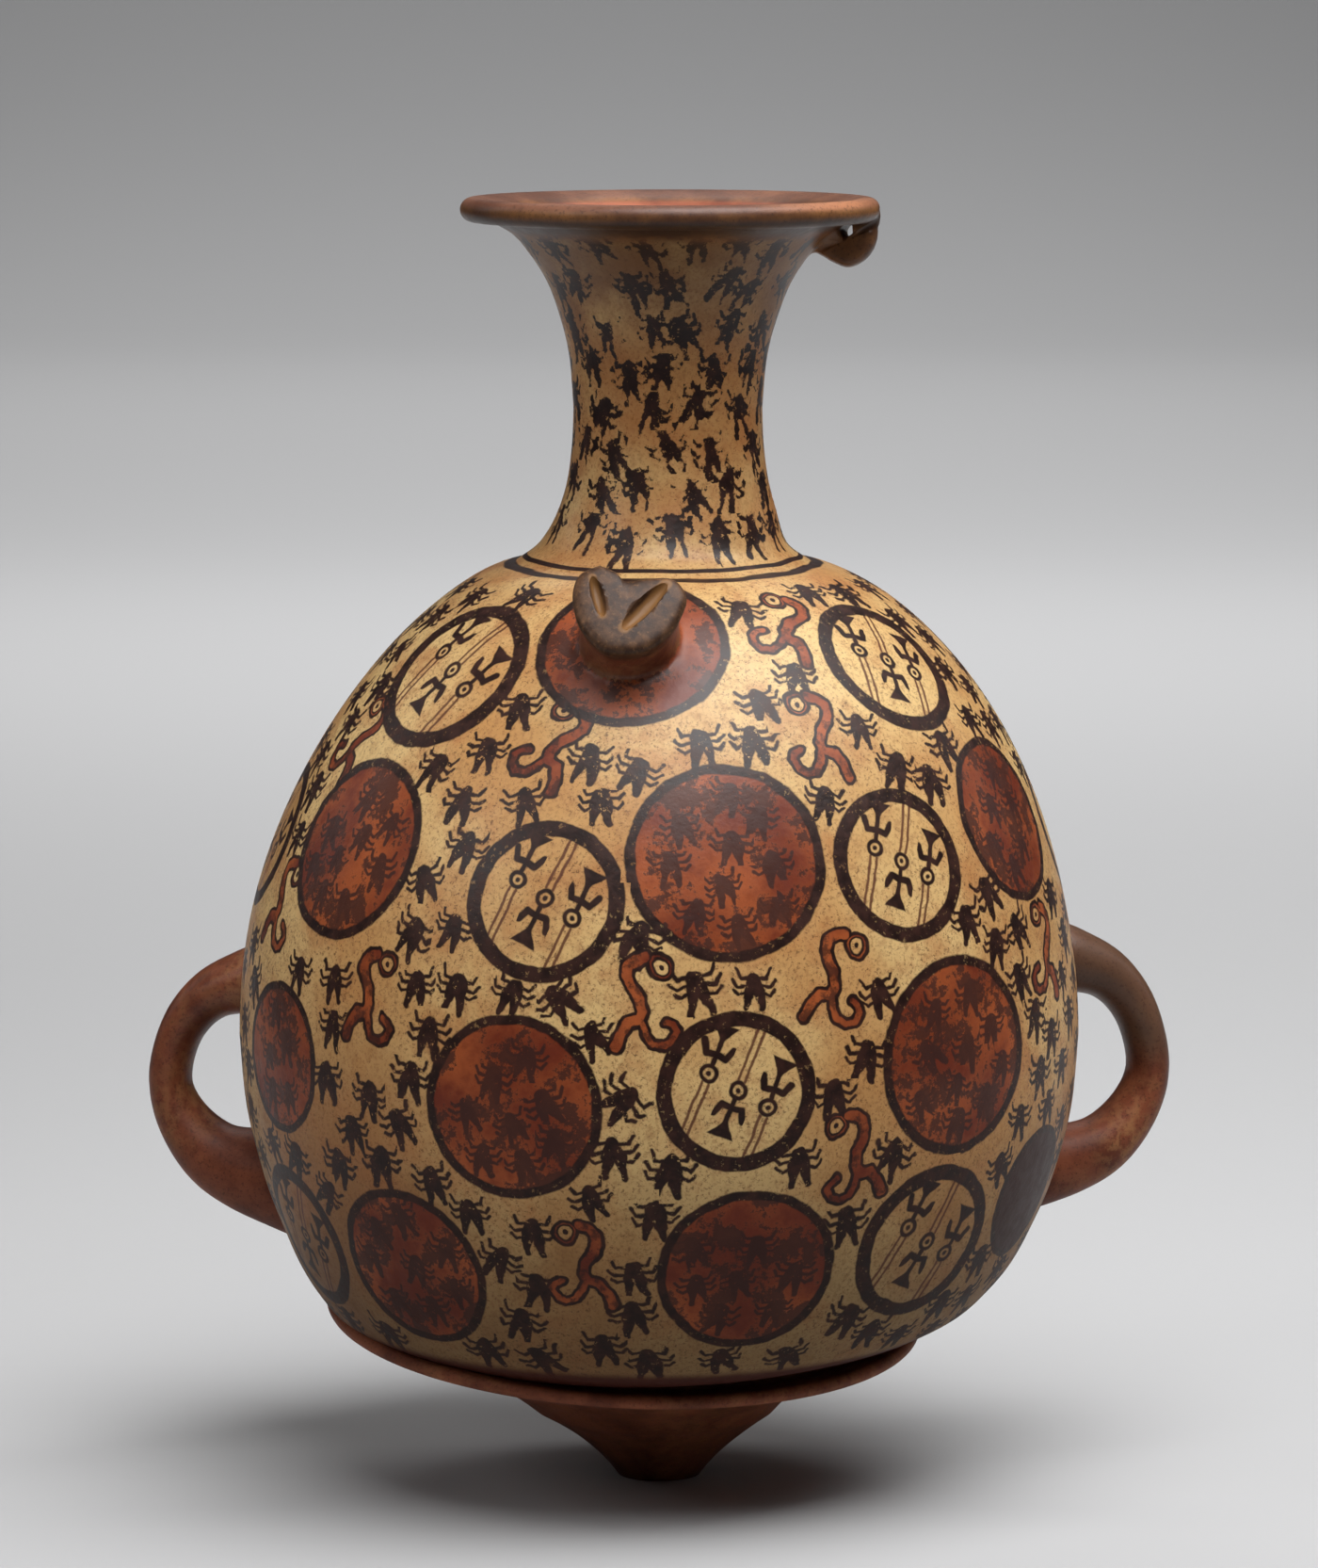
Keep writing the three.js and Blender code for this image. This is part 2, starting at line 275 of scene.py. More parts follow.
def body_outline():
    """Outer line of the body and neck, and the lip"""
    base = line([
        [base_radius * 0.3, base_height - 3.3],
        [base_radius * 0.75, base_height - 2.9],
        [base_radius, base_height],
    ], 10)
    lower_shares = [
        [0, 0], [0.21, 0.05], [0.375, 0.13], [0.51, 0.22],
        [0.64, 0.34], [0.8, 0.51], [0.945, 0.75], [1, 1],
    ]
    lower = line([
        [mix(base_radius, belly_radius, r), mix(base_height, belly_height, z)] for r, z in lower_shares
    ], 36)
    up = np.sin(np.linspace(0, np.pi / 2, 46)[1:])
    shoulder = np.stack([
        mix(crease_radius, belly_radius, (1 - up**2) ** (2 / 3)),
        mix(belly_height, crease_height, up),
    ], axis=-1)
    neck_shares = [[1, 0], [0.67, 0.08], [0.5, 0.15], [0.33, 0.28], [0.13, 0.51], [0.03, 0.76], [0, 1]]
    neck = line([
        [mix(neck_radius, crease_radius, r), mix(crease_height, neck_height, z)] for r, z in neck_shares
    ], 28)
    flare_shares = [
        [0, 0], [0.04, 0.27], [0.13, 0.48], [0.265, 0.68], [0.45, 0.84], [0.61, 0.94], [0.8, 1],
    ]
    flare_top = height - 2.1 * lip_radius
    crest = mouth_radius - lip_radius
    flare = line([
        [mix(neck_radius, crest, r), mix(neck_height, flare_top, z)] for r, z in flare_shares
    ], 32)
    turn = np.radians(np.linspace(-90, 90, 15))
    lip = np.stack([
        crest + lip_radius * np.cos(turn),
        height - lip_radius + lip_radius * np.sin(turn),
    ], axis=-1)
    return np.vstack([base, lower[1:], shoulder, neck[1:], flare[1:]]), lip


def cavity_outline(walls):
    """The same line one wall thickness further in, and out through the mouth"""
    along = np.gradient(walls, axis=0)
    along /= np.linalg.norm(along, axis=1, keepdims=True)
    inner = walls + wall * np.stack([-along[:, 1], along[:, 0]], axis=-1)
    throat = inner[inner[:, 1] < height - wall][::2]
    crest = mouth_radius - lip_radius
    roll = line([
        throat[-1],
        [mix(throat[-1][0], crest, 0.45), height - 0.42 * wall],
        [crest - lip_radius, height - 0.25],
        [crest, height + 0.02],
    ], 16)[1:]
    return np.vstack([throat, roll, [[crest, height + 3]]])


def handle(name, turn, bend, rise, drop, low_root):
    """Strap handle: an oval led along a loop, and thicker towards both roots"""
    reach = handle_reach
    inside = belly_radius - 0.75 * wall
    route = line([
        [inside - 1.5, bend + rise],
        [mix(inside, reach, 0.28), bend + 0.93 * rise],
        [mix(inside, reach, 0.62), bend + 0.78 * rise],
        [mix(inside, reach, 0.88), bend + 0.46 * rise],
        [reach, bend],
        [mix(inside, reach, 0.9), bend - 0.4 * drop],
        [mix(inside, reach, 0.62), bend - 0.75 * drop],
        [mix(inside, reach, 0.26), bend - 0.92 * drop],
        [inside - 5.5, bend - drop],
    ], 400)
    length = np.concatenate([[0], np.cumsum(np.linalg.norm(np.diff(route, axis=0), axis=1))])
    share = np.linspace(0, 1, 73)
    centre = np.stack([np.interp(share * length[-1], length, route[:, k]) for k in (0, 1)], axis=-1)
    along = np.gradient(centre, axis=0)
    along /= np.linalg.norm(along, axis=1, keepdims=True)
    upper = share < 0.5
    root = np.abs(2 * share - 1) ** np.where(upper, 2.4, 1.3)
    end = np.where(upper, handle_top_root, low_root)
    thick = (mix(handle_thickness, end, root) / 2)[:, None]
    wide = (mix(handle_width, end, root) / 2)[:, None]
    around = np.linspace(0, 2 * np.pi, 28, endpoint=False)
    r = centre[:, :1] - along[:, 1:] * thick * np.sin(around)
    z = centre[:, 1:] + along[:, :1] * thick * np.sin(around)
    y = wide * np.cos(around)
    return solid(name, np.stack([
        r * math.cos(turn) - y * math.sin(turn),
        r * math.sin(turn) + y * math.cos(turn),
        z,
    ], axis=-1))


def lug():
    """Flat rounded lug under the right of the rim, with a slanting hole for a cord"""
    right = mouth_radius + mouth_lean - 0.6
    top = height - lip_radius
    bottom = top - lug_drop
    edge = line([
        [right - 15.5, top - 1.5],
        [right - 0.6, top],
        [right + 0.2, mix(bottom, top, 0.65)],
        [right - 0.3, mix(bottom, top, 0.35)],
        [right - 2, mix(bottom, top, 0.12)],
        [right - 4.6, bottom],
        [right - 7, mix(bottom, top, 0.07)],
        [right - 9.6, mix(bottom, top, 0.22)],
        [right - 14, mix(bottom, top, 0.45)],
    ], 70)
    middle = np.array([right - 7, mix(bottom, top, 0.6)])
    rings = []
    for turn in np.linspace(-0.5, 0.5, 17) * np.pi:
        inset = 0.66 + 0.34 * math.cos(turn) ** 0.55
        p = middle + (edge - middle) * inset
        off_middle = math.sin(turn) * lug_thickness / 2
        rings.append(np.stack([p[:, 0], 0 * p[:, 0] + off_middle, p[:, 1]], axis=-1))
    plate = solid("lug", rings)
    drill = []
    slant = lug_thickness * math.tan(math.radians(lug_hole_slant))
    around = np.linspace(0, 2 * np.pi, 28, endpoint=False)
    for end in (-1, 1):
        drill.append(np.stack([
            right - 4.4 + lug_hole * np.cos(around) + end * slant,
            0 * around + end * lug_thickness,
            top - 3.6 - lug_hole * np.sin(around) - end * 0.15 * lug_thickness,
        ], axis=-1))
    return joined(plate, "DIFFERENCE", solid("drill", drill))


# Face seen from in front, as shares of its half height
FACE = [
    [-0.6, 1], [-0.96, 0.8], [-1.1, 0.44], [-1.08, 0], [-0.93, -0.46], [-0.55, -0.91], [-0.12, -1],
    [0.35, -0.92], [0.78, -0.56], [1.05, 0], [1.09, 0.34], [0.84, 0.68], [0.35, 0.68], [-0.08, 0.62],
    [-0.28, 0.84],
]

# Two slit eyes: each one's ends and half width
EYES = [([-0.72, 0.66], [-0.52, -0.22], 0.12), ([0.7, 0.5], [-0.1, -0.5], 0.16)]


def on_head(across, up, out):
    """A place measured across, up and out along the stalk, from the middle of its root"""
    pitch = math.radians(head_pitch)
    return np.stack([
        head_side + upper_lean + across,
        -head_root_radius - out * math.cos(pitch) + up * math.sin(pitch),
        head_root_height + out * math.sin(pitch) + up * math.cos(pitch),
    ], axis=-1)


def head():
    """Stalk that widens to a heart-shaped face, with two slits for eyes"""
    outline = line([*FACE, FACE[0]], 90)[:-1]
    round_off = outline / np.linalg.norm(outline, axis=1, keepdims=True) * stalk_radius
    sections = line([
        [-9, 1.1, 0], [-1, 1.02, 0.2], [0.4 * head_stalk, 0.96, 0.4], [0.7 * head_stalk, 0.95, 0.75],
        [0.9 * head_stalk, 0.99, 1], [head_stalk, 0.98, 1], [head_stalk + 0.7, 0.88, 1],
        [head_stalk + 1.1, 0.6, 1], [head_stalk + 1.3, 0.25, 1],
    ], 40)
    rings = []
    for out, size, shape in sections:
        p = mix(round_off, outline * head_half_height, min(shape, 1)) * size
        rings.append(on_head(p[:, 0], p[:, 1], out + 0 * p[:, 0]))
    nub = solid("head", rings)
    for start, end, half in EYES:
        nub = joined(nub, "DIFFERENCE", slit(np.array(start), np.array(end), half))
    return nub


def slit(start, end, half):
    """The tool that cuts one eye: an oval that narrows inwards"""
    along = (end - start) * head_half_height / 2
    side = np.array([-along[1], along[0]])
    side *= half * head_half_height / np.linalg.norm(side)
    middle = (start + end) * head_half_height / 2
    around = np.linspace(0, 2 * np.pi, 32, endpoint=False)
    levels = line([
        [-eye_depth, 0.35], [-0.75 * eye_depth, 0.65], [-0.3 * eye_depth, 0.88], [0.6, 1.1], [2.5, 1.3],
    ], 14)
    rings = []
    for depth, size in levels:
        p = middle + size * (np.outer(np.cos(around), along) + np.outer(np.sin(around), side))
        rings.append(on_head(p[:, 0], p[:, 1], head_stalk + 0.7 + depth + 0 * around))
    return solid("eye", rings)


def joined(piece, operation, other):
    """The first solid with the second one added or cut away; faces keep their part's number"""
    step = piece.modifiers.new("join", "BOOLEAN")
    step.operation = operation
    step.solver = "MANIFOLD"
    step.object = other
    mesh = bpy.data.meshes.new_from_object(piece.evaluated_get(bpy.context.evaluated_depsgraph_get()))
    old = piece.data
    piece.modifiers.clear()
    piece.data = mesh
    bpy.data.meshes.remove(old)
    bpy.data.objects.remove(other)
    return piece


# Numbers of the parts
BODY, SAUCER, HANDLE, LUG, HEAD, INSIDE = range(6)


def tag(piece, number):
    """Marks every face of a piece with the number of the part that it belongs to"""
    faces = len(piece.data.polygons)
    mark = piece.data.attributes.new("part", "INT", "FACE")
    mark.data.foreach_set("value", np.full(faces, number, np.int32))
    return piece


def jar():
    """The body with all that is joined to it, and the hollow cut out last"""
    walls, lip = body_outline()
    side = math.radians(handle_turn)
    piece = tag(turned("painted_jar", np.vstack([walls, lip]), settle_body), BODY)
    for other, number in [
        (turned("saucer", saucer_outline(), settle_saucer, 200), SAUCER),
        (handle("right_handle", side, **right_handle), HANDLE),
        (handle("left_handle", math.pi - side, **left_handle), HANDLE),
        (lug(), LUG),
        (head(), HEAD),
    ]:
        piece = joined(piece, "UNION", tag(other, number))
    cavity = tag(turned("cavity", cavity_outline(walls), settle_body, 120), INSIDE)
    return joined(piece, "DIFFERENCE", cavity)


def soften_joins(piece, reach, rounds):
    """Rounds the line where a handle, the lug or the head meets the body, as a wet thumb would"""
    work = bmesh.new()
    work.from_mesh(piece.data)
    mark = work.faces.layers.int["part"]
    fixed = {SAUCER, INSIDE}
    tree = kdtree.KDTree(len(work.verts))
    count = 0
    for edge in work.edges:
        parts = {face[mark] for face in edge.link_faces}
        if len(parts) == 2 and not parts & fixed:
            tree.insert((edge.verts[0].co + edge.verts[1].co) / 2, count)
            count += 1
    tree.balance()
    near = [v for v in work.verts if tree.find(v.co)[2] < reach * MM]
    near = [v for v in near if not {face[mark] for face in v.link_faces} & fixed]
    for _ in range(rounds):
        bmesh.ops.smooth_vert(
            work, verts=near, factor=0.5, use_axis_x=True, use_axis_y=True, use_axis_z=True,
        )
    work.to_mesh(piece.data)
    work.free()


def body_line():
    """Radius of the body and neck at each height, without the underside"""
    walls, lip = body_outline()
    side = walls[walls[:, 1] > base_height]
    return side[:, 1], side[:, 0]


def on_body(turn, level, lean=0):
    """Centre, rightward and upward directions of a mark painted on the body, turned by its lean"""
    heights, radii = body_line()
    turn = np.radians(np.atleast_1d(np.asarray(turn, float)))
    lean = np.radians(np.asarray(lean, float) + 0 * turn)
    z = np.asarray(level, float) + 0 * turn
    aim = z.copy()
    for _ in range(3):
        r = np.interp(z, heights, radii)
        centre = settle_body(np.stack([r * np.sin(turn), -r * np.cos(turn), z], axis=-1))
        z = z + aim - centre[:, 2]
    slope = (np.interp(z + 1, heights, radii) - np.interp(z - 1, heights, radii)) / 2
    run = np.hypot(slope, 1)
    up = np.stack([slope * np.sin(turn), -slope * np.cos(turn), 1 + 0 * turn], axis=-1) / run[:, None]
    right = np.stack([np.cos(turn), np.sin(turn), 0 * turn], axis=-1)
    lean = lean[:, None]
    leaning_right = right * np.cos(lean) - up * np.sin(lean)
    leaning_up = up * np.cos(lean) + right * np.sin(lean)
    return centre, leaning_right, leaning_up


def marks(turn, level, size, kind=0, lean=0, side=1):
    """Flat drawings laid on the body: each one's centre, directions, size in millimetres and kind"""
    centre, right, up = on_body(turn, level, lean)
    fill = np.ones(len(centre))
    right = right * (side * fill)[:, None]
    return {"centre": centre, "right": right, "up": up, "size": size * fill, "kind": kind * fill}


def disc_marks():
    turn, level, size, filling = zip(*DISCS)
    kind = np.array([["staffs", "red", "dark"].index(word) for word in filling])
    return marks(turn, level, np.array(size, float), kind)


def worm_marks():
    turn, level, lean, side = (np.array(column, float) for column in zip(*WORMS))
    return marks(turn, level, worm_size, 0, lean, side)


def has_room(turn, level, centre, worms):
    """Where an insect keeps off the worms, the head and the roots of the handles"""
    off_worm = np.linalg.norm(centre[:, None] - worms["centre"], axis=2)
    along = np.abs(((centre[:, None] - worms["centre"]) * worms["up"]).sum(axis=2))
    off_worm = (off_worm - 0.5 * np.minimum(along, worm_size)).min(axis=1)
    off_head = np.linalg.norm(centre - on_head(0, 0, 0), axis=1)
    off_front = np.abs((turn + 180) % 360 - 180)
    off_handle = np.abs(off_front - 90 - handle_turn) * belly_radius * math.pi / 180
    at_upper_root = np.abs(level - upper_root_level) < upper_root_room
    at_lower_root = np.abs(level - lower_root_level) < handle_room
    at_handle = (off_handle < handle_room) & (at_upper_root | at_lower_root)
    return (off_worm > worm_room) & (off_head > head_room) & ~at_handle


def body_insects(discs, worms):
    """Packs insects over the ground between the discs, and smaller ones inside the red discs"""
    rng = np.random.default_rng(11)
    level = rng.uniform(lowest_insect, highest_insect, insect_tries)
    turn = rng.uniform(0, 360, len(level))
    centre, _, _ = on_body(turn, level)
    off_disc = np.linalg.norm(centre[:, None] - discs["centre"], axis=2) - discs["size"]
    inside = ((off_disc < -rim_room) & (discs["kind"] == 1)).any(axis=1)
    clear = (off_disc > disc_room).all(axis=1)
    order = np.flatnonzero((clear | inside) & has_room(turn, level, centre, worms))
    order = order[np.argsort(level[order] + rng.uniform(0, 6, len(order)))]
    kept = []
    for i in order:
        room = insect_room if clear[i] else small_insect_room
        if not kept or np.linalg.norm(centre[kept] - centre[i], axis=1).min() > room:
            kept.append(i)
    return turn[kept], level[kept], np.where(clear[kept], insect_size, small_insect_size)


def neck_insects():
    """Staggered rows of insects up the neck"""
    rng = np.random.default_rng(5)
    heights, radii = body_line()
    rows = []
    for row, z in enumerate(np.arange(crease_height + 6, height - 7.1, neck_row)):
        count = int(round(2 * math.pi * np.interp(z, heights, radii) / neck_insect_room))
        turn = (np.arange(count) + 0.5 * (row % 2)) * 360 / count + rng.uniform(-6, 6, count)
        level = z + rng.uniform(-1.6, 1.6, count)
        rows.append(np.stack([turn, level, np.full(count, neck_insect_size)]))
    return np.hstack(rows)


def insect_marks(discs, worms):
    """Every insect, and the head's face, whose eyes are drawn by the same layer"""
    rng = np.random.default_rng(8)
    turn, level, size = np.hstack([body_insects(discs, worms), neck_insects()])
    size = size * rng.uniform(0.92, 1.1, len(turn))
    lean = rng.normal(0, 16, len(turn))
    insects = marks(turn, level, size, 0, lean)
    tall = np.where(level > crease_height, neck_insect_stretch, 1)[:, None]
    insects["right"] = insects["right"] * np.sqrt(tall)
    insects["up"] = insects["up"] / tall
    pitch = math.radians(head_pitch)
    face = {
        "centre": on_head(0, 0, head_stalk)[None],
        "right": np.array([[1, 0, 0]]),
        "up": np.array([[0, math.sin(pitch), math.cos(pitch)]]),
        "size": [head_half_height],
        "kind": [1],
    }
    return {key: np.concatenate([insects[key], face[key]]) for key in insects}


class Corners:
    """The mesh as plain arrays: every face corner's vertex and face"""

    def __init__(self, mesh):
        self.mesh = mesh
        self.points = np.zeros((len(mesh.vertices), 3))
        mesh.vertices.foreach_get("co", self.points.reshape(-1))
        self.points /= MM
        self.vertex = np.zeros(len(mesh.loops), int)
        mesh.loops.foreach_get("vertex_index", self.vertex)
        total = np.zeros(len(mesh.polygons), int)
        mesh.polygons.foreach_get("loop_total", total)
        self.face = np.repeat(np.arange(len(total)), total)
        self.middle = np.stack([
            np.bincount(self.face, self.points[self.vertex, k]) / total for k in range(3)
        ], axis=-1)
        self.part = np.zeros(len(total), np.int32)
        mesh.attributes["part"].data.foreach_get("value", self.part)

    def write_places(self, name, marks, reach, painted):
        """Each corner's place in the drawing of the mark whose edge is nearest to its face"""
        nearest = np.zeros(len(self.middle), int)
        gap = np.full(len(self.middle), 1e9)
        spots = marks["centre"]
        for faces in np.array_split(np.flatnonzero(painted), 40):
            middle = self.middle[faces]
            square = (middle**2).sum(axis=1)[:, None] + (spots**2).sum(axis=1) - 2 * middle @ spots.T
            edge = np.sqrt(np.maximum(square, 0)) - reach * marks["size"]
            nearest[faces] = edge.argmin(axis=1)
            gap[faces] = edge.min(axis=1)
        mark = nearest[self.face]
        away = self.points[self.vertex] - spots[mark]
        size = marks["size"][mark]
        place = np.stack([
            (away * marks["right"][mark]).sum(axis=1) / size,
            (away * marks["up"][mark]).sum(axis=1) / size,
            marks["kind"][mark],
        ], axis=-1)
        place[(gap > 0)[self.face]] = (9, 9, 0)
        layer = self.mesh.attributes.new(name, "FLOAT_VECTOR", "CORNER")
        layer.data.foreach_set("vector", place.astype(np.float32).reshape(-1))

    def write_coat(self):
        """How far each corner is painted ground, the head's face, the mouth's inside, and the lip"""
        p = self.points[self.vertex]
        z = p[:, 2] - mouth_pitch * p[:, 1]
        pitch = math.radians(head_pitch)
        root = np.array([0, -head_root_radius, head_root_height])
        out = (p - root) @ np.array([0, -math.cos(pitch), math.sin(pitch)])
        parts = (BODY, HEAD, INSIDE, LUG)
        is_body, is_head, is_inside, is_lug = ((self.part == k)[self.face] for k in parts)
        rim = smooth(z, height - 7, height - 5)
        far = np.hypot(p[:, 0] - mouth_lean, p[:, 1])
        roll = smooth(far, mouth_radius - 9.5, mouth_radius - 7.5)
        shares = np.stack([
            is_body * (1 - rim),
            is_head * smooth(out, 0.62 * head_stalk, 0.8 * head_stalk),
            is_inside * (1 - roll) * smooth(z, neck_height - 20, neck_height + 10),
            np.where(is_lug, 1, is_body * rim + is_inside * roll * (z > height - 20)),
        ], axis=-1)
        layer = self.mesh.attributes.new("coat", "FLOAT_COLOR", "CORNER")
        layer.data.foreach_set("color", shares.astype(np.float32).reshape(-1))


class Wires:
    """Adds nodes to one tree, so that a material reads as a list of sums"""

    def __init__(self, tree):
        self.tree = tree

    def add(self, kind, inputs=None, **settings):
        node = self.tree.nodes.new(kind)
        for key, value in settings.items():
            setattr(node, key, value)
        for key, value in (inputs or {}).items():
            self.feed(node.inputs[key], value)
        return node

    def feed(self, socket, value):
        if isinstance(value, bpy.types.NodeSocket):
            self.tree.links.new(value, socket)
        else:
            socket.default_value = value

    def sum(self, operation, *values, clamp=False):
        inputs = dict(enumerate(values))
        return self.add("ShaderNodeMath", inputs, operation=operation, use_clamp=clamp).outputs[0]

    def vector(self, operation, *values):
        node = self.add("ShaderNodeVectorMath", dict(enumerate(values)), operation=operation)
        return node.outputs["Value" if operation in ("LENGTH", "DOT_PRODUCT") else "Vector"]

    def scaled(self, vector, factor):
        node = self.add("ShaderNodeVectorMath", {0: vector, "Scale": factor}, operation="SCALE")
        return node.outputs["Vector"]

    def step(self, value, low, high, start=0.0, end=1.0):
        """Runs smoothly from start to end while the value runs from low to high"""
        inputs = {"Value": value, "From Min": low, "From Max": high, "To Min": start, "To Max": end}
        return self.add("ShaderNodeMapRange", inputs, interpolation_type="SMOOTHSTEP").outputs["Result"]

    def blend(self, share, a, b):
        """The first colour, and the second one where the share is one"""
        node = self.add("ShaderNodeMix", data_type="RGBA")
        self.feed(node.inputs["Factor"], share)
        self.feed(node.inputs[6], a)
        self.feed(node.inputs[7], b)
        return node.outputs[2]

    def noise(self, where, scale, detail, rough, colour=False):
        inputs = {"Vector": where, "Scale": scale, "Detail": detail, "Roughness": rough}
        return self.add("ShaderNodeTexNoise", inputs).outputs["Color" if colour else "Fac"]

    def parts(self, vector):
        return list(self.add("ShaderNodeSeparateXYZ", {0: vector}).outputs)

    def layer(self, name):
        return self.add("ShaderNodeAttribute", attribute_name=name).outputs["Vector"]

    def rest(self, share):
        """What a share leaves of the whole"""
        return self.sum("SUBTRACT", 1.0, share)

    def swing(self, noise, reach):
        """A noise as a shift to either side of nothing"""
        return self.both(self.sum("SUBTRACT", noise, 0.5), reach)

    def least(self, *values):
        """Distance to the nearest of several shapes"""
        found = values[0]
        for value in values[1:]:
            found = self.sum("MINIMUM", found, value)
        return found

    def both(self, *values):
        """Share where all of the given shares hold"""
        found = values[0]
        for value in values[1:]:
            found = self.sum("MULTIPLY", found, value)
        return found


def rgb(red, green, blue):
    """A colour given as it looks on a screen, as the light that it stands for"""
    shown = (red / 255, green / 255, blue / 255)
    return (*(c / 12.92 if c <= 0.04045 else ((c + 0.055) / 1.055) ** 2.4 for c in shown), 1)


def stroke_group():
    """Distance to a brush stroke that runs from one point to another and may taper"""
    tree = bpy.data.node_groups.new("stroke", "ShaderNodeTree")
    for name in ("Place", "From", "To"):
        tree.interface.new_socket(name, in_out="INPUT", socket_type="NodeSocketVector")
    for name in ("Start", "End"):
        tree.interface.new_socket(name, in_out="INPUT", socket_type="NodeSocketFloat")
    tree.interface.new_socket("Distance", in_out="OUTPUT", socket_type="NodeSocketFloat")
    w = Wires(tree)
    given = w.add("NodeGroupInput").outputs
    away = w.vector("SUBTRACT", given["Place"], given["From"])
    along = w.vector("SUBTRACT", given["To"], given["From"])
    square = w.vector("DOT_PRODUCT", along, along)
    share = w.sum("DIVIDE", w.vector("DOT_PRODUCT", away, along), square, clamp=True)
    gap = w.vector("LENGTH", w.vector("SUBTRACT", away, w.scaled(along, share)))
    half = w.step(share, 0, 1, given["Start"], given["End"])
    w.add("NodeGroupOutput", {0: w.sum("SUBTRACT", gap, half)})


def stroke(w, place, start, end, half, end_half=None):
    node = w.add("ShaderNodeGroup", node_tree=bpy.data.node_groups["stroke"])
    end_half = half if end_half is None else end_half
    given = {"Place": place, "From": (*start, 0), "To": (*end, 0), "Start": half, "End": end_half}
    for key, value in given.items():
        w.feed(node.inputs[key], value)
    return node.outputs[0]


def path(w, place, points, half):
    """Distance to a line of strokes"""
    return w.least(*(stroke(w, place, a, b, half) for a, b in zip(points, points[1:])))


def flat(w, place):
    """Both flat coordinates of a drawing, with nothing in the third"""
    return w.vector("MULTIPLY", place, (1, 1, 0))


def mirrored(w, place):
    """The same place folded over the upright line in the middle"""
    across, up, _ = w.parts(place)
    return w.add("ShaderNodeCombineXYZ", {0: w.sum("ABSOLUTE", across), 1: up}).outputs[0]


def insect_shape(w, place):
    """Broad body, two tapered wings in an inverted V, and three bent legs a side"""
    half = mirrored(w, place)
    return w.least(
        stroke(w, half, (0, 0.4), (0.06, 0.1), 0.34, 0.36),
        stroke(w, half, (0.17, 0.05), (0.36, -0.8), 0.27, 0.13),
        path(w, half, [(0.15, 0.5), (0.6, 0.5), (0.76, 0.84)], 0.075),
        path(w, half, [(0.2, 0.22), (0.72, 0.15), (0.92, 0.4)], 0.075),
        path(w, half, [(0.2, -0.05), (0.68, -0.2), (0.88, 0.02)], 0.07),
    )


def worm_shape(w, place):
    """Distances to the worm's winding body and to its ring-shaped head's centre"""
    route = line([
        (0, 0.98), (0.3, 0.86), (0.34, 0.5), (0.1, 0.12), (0.04, -0.3), (0.42, -0.42), (0.6, -0.92),
    ], 10)
    curl = line([(0.04, -0.36), (-0.12, -0.78), (-0.5, -0.84), (-0.68, -0.52), (-0.44, -0.34)], 7)
    body = path(w, place, route.tolist(), 0.18)
    tail = path(w, place, curl.tolist(), 0.14)
    gap = w.vector("LENGTH", w.vector("SUBTRACT", place, (-0.32, 0.8, 0)))
    return w.least(body, tail, w.sum("SUBTRACT", gap, 0.31)), gap


def staff_shape(w, place):
    """Three slanting staffs, the middle one head down: double line, ring and dot, anchor and blade"""
    slant = {"Vector": place, "Angle": math.radians(22)}
    slanted = w.add("ShaderNodeVectorRotate", slant, rotation_type="Z_AXIS").outputs[0]
    across, up, _ = w.parts(slanted)
    column = w.sum("ROUND", w.sum("DIVIDE", across, staff_gap))
    column = w.sum("MAXIMUM", w.sum("MINIMUM", column, 1.0), -1.0)
    across = w.sum("SUBTRACT", across, w.sum("MULTIPLY", column, staff_gap))
    along = w.sum("SUBTRACT", w.sum("ADD", up, w.sum("MULTIPLY", column, 0.07)), 0.03)
    flip = w.sum("SUBTRACT", w.sum("MULTIPLY", w.sum("ABSOLUTE", column), 2.0), 1.0)
    own = w.add("ShaderNodeCombineXYZ", {0: w.both(across, flip), 1: w.both(along, flip)}).outputs[0]
    half = mirrored(w, own)
    side, up, _ = w.parts(half)
    gap = w.vector("LENGTH", own)
    ring = w.sum("SUBTRACT", w.sum("ABSOLUTE", w.sum("SUBTRACT", gap, 0.095)), 0.028)
    blade = w.sum("SUBTRACT", side, w.step(up, 0.4, 0.68, 0.035, 0.19))
    ends = w.sum("SUBTRACT", w.sum("ABSOLUTE", w.sum("SUBTRACT", up, 0.49)), 0.13)
    dark = w.least(
        ring,
        w.sum("SUBTRACT", gap, 0.034),
        stroke(w, half, (0, 0.12), (0, 0.4), 0.034),
        path(w, half, [(0, 0.24), (0.13, 0.22), (0.19, 0.36)], 0.045),
        w.sum("MAXIMUM", blade, ends),
    )
    lines = stroke(w, half, (0.045, -0.13), (0.045, -0.9), 0.017)
    return dark, lines


